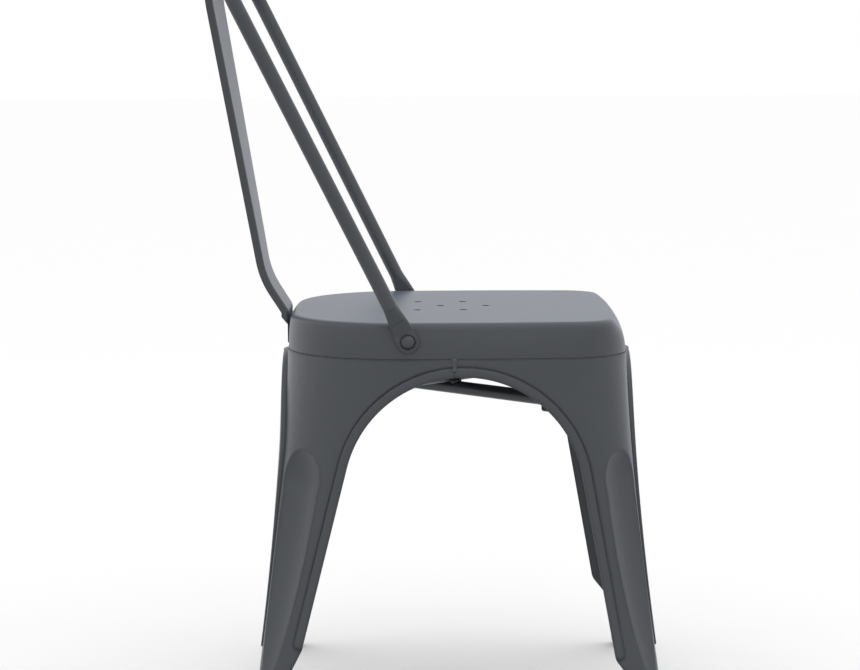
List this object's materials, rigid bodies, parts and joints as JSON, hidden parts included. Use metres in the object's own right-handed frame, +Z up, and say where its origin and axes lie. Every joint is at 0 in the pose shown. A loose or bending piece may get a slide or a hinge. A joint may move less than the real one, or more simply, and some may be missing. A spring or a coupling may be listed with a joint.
{
  "type": "metal chair",
  "caption": "Pressed-steel stacking cafe chair with arched sheet legs, a dished pan seat with drain holes, a reclined tube hoop back and a tapered sheet splat.",
  "frame": {"origin": "on the floor, under the middle of the chair's overall box", "axes": "+Z up, the sitter faces -Y, +X to the sitter's left"},
  "size_m": [0.4574, 0.5047, 0.85],
  "materials": {
    "grey_powder_coat": "fine matt-satin powder coat in slate grey",
    "bolt_paint": "satin slate-grey paint on a dome-head bolt",
    "zinc_steel": "bright zinc-plated steel",
    "black_rubber": "matt black moulded rubber"
  },
  "bodies": {
    "root": {"apron_weld_front": "grey_powder_coat", "apron_weld_left": "grey_powder_coat", "apron_weld_rear": "grey_powder_coat", "apron_weld_right": "grey_powder_coat", "back_hoop": "grey_powder_coat", "back_splat": "grey_powder_coat", "brace_cross_weld": "grey_powder_coat", "brace_lower": "grey_powder_coat", "brace_upper": "grey_powder_coat", "brace_weld_front_left": "grey_powder_coat", "brace_weld_front_right": "grey_powder_coat", "brace_weld_rear_left": "grey_powder_coat", "brace_weld_rear_right": "grey_powder_coat", "foot_pad_front_left": "black_rubber", "foot_pad_front_right": "black_rubber", "foot_pad_rear_left": "black_rubber", "foot_pad_rear_right": "black_rubber", "hoop_bolt_left": "bolt_paint", "hoop_bolt_right": "bolt_paint", "hoop_nut_left": "zinc_steel", "hoop_nut_right": "zinc_steel", "hoop_washer_left": "zinc_steel", "hoop_washer_right": "zinc_steel", "leg_front_left": "grey_powder_coat", "leg_front_right": "grey_powder_coat", "leg_rear_left": "grey_powder_coat", "leg_rear_right": "grey_powder_coat", "seat_pan": "grey_powder_coat", "splat_foot_weld": "grey_powder_coat", "splat_top_weld": "grey_powder_coat", "stacking_bumper_front_left": "black_rubber", "stacking_bumper_front_right": "black_rubber", "stacking_bumper_rear_left": "black_rubber", "stacking_bumper_rear_right": "black_rubber"}
  },
  "joints": []
}
